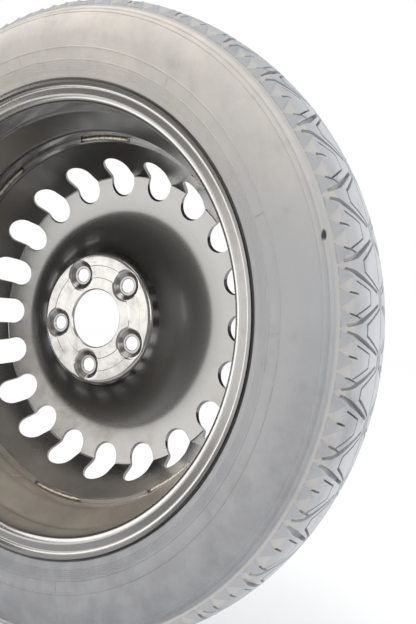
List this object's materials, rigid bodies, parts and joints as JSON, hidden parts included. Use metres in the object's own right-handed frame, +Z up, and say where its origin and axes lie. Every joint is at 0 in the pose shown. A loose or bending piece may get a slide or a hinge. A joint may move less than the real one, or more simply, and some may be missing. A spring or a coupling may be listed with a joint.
{
  "type": "space saver spare wheel",
  "caption": "Narrow steel spare wheel with its tyre, pierced bulging disc, hub pad with bolt seats, drop-centre rim and a rubber tyre valve with a press-in core.",
  "frame": {"origin": "centre of the hub face, on the wheel's axle; the rim's centre plane is 46 mm towards -Y", "axes": "the wheel spins about Y, its vehicle side faces -Y and its street side +Y, and +Z is up as in the picture"},
  "size_m": [0.6347, 0.1643, 0.6347],
  "materials": {
    "tyre": "dusty grey moulded rubber",
    "rim": "gloss charcoal paint",
    "disc": "gloss charcoal paint",
    "weld_beads": "rough weld under charcoal paint",
    "valve_body": "black moulded rubber",
    "valve_stem": "turned brass",
    "valve_core": "turned brass",
    "core_pin": "turned brass",
    "core_seal": "soft rubber ring",
    "core_spring": "drawn spring wire",
    "valve_cap": "black moulded plastic",
    "cap_seal": "soft rubber disc"
  },
  "bodies": {
    "wheel": {"tyre": "tyre", "rim": "rim", "disc": "disc", "weld_beads": "weld_beads", "valve_body": "valve_body", "valve_stem": "valve_stem", "valve_core": "valve_core", "core_spring": "core_spring"},
    "core": {"core_pin": "core_pin", "core_seal": "core_seal"},
    "cap": {"valve_cap": "valve_cap", "cap_seal": "cap_seal"}
  },
  "joints": [
    {"name": "core_pin_press", "type": "slide", "parent": "wheel", "child": "core", "axis": [0.4996, -0.866, 0.0205], "range_m": [0, 0.0012], "stiffness_N_per_m": 800, "springref_m": -0.002, "deforming": ["core_spring"]},
    {"name": "cap_slide", "type": "slide", "parent": "wheel", "child": "cap", "axis": [-0.4996, 0.866, -0.0205], "range_m": [0, 0.012]}
  ]
}
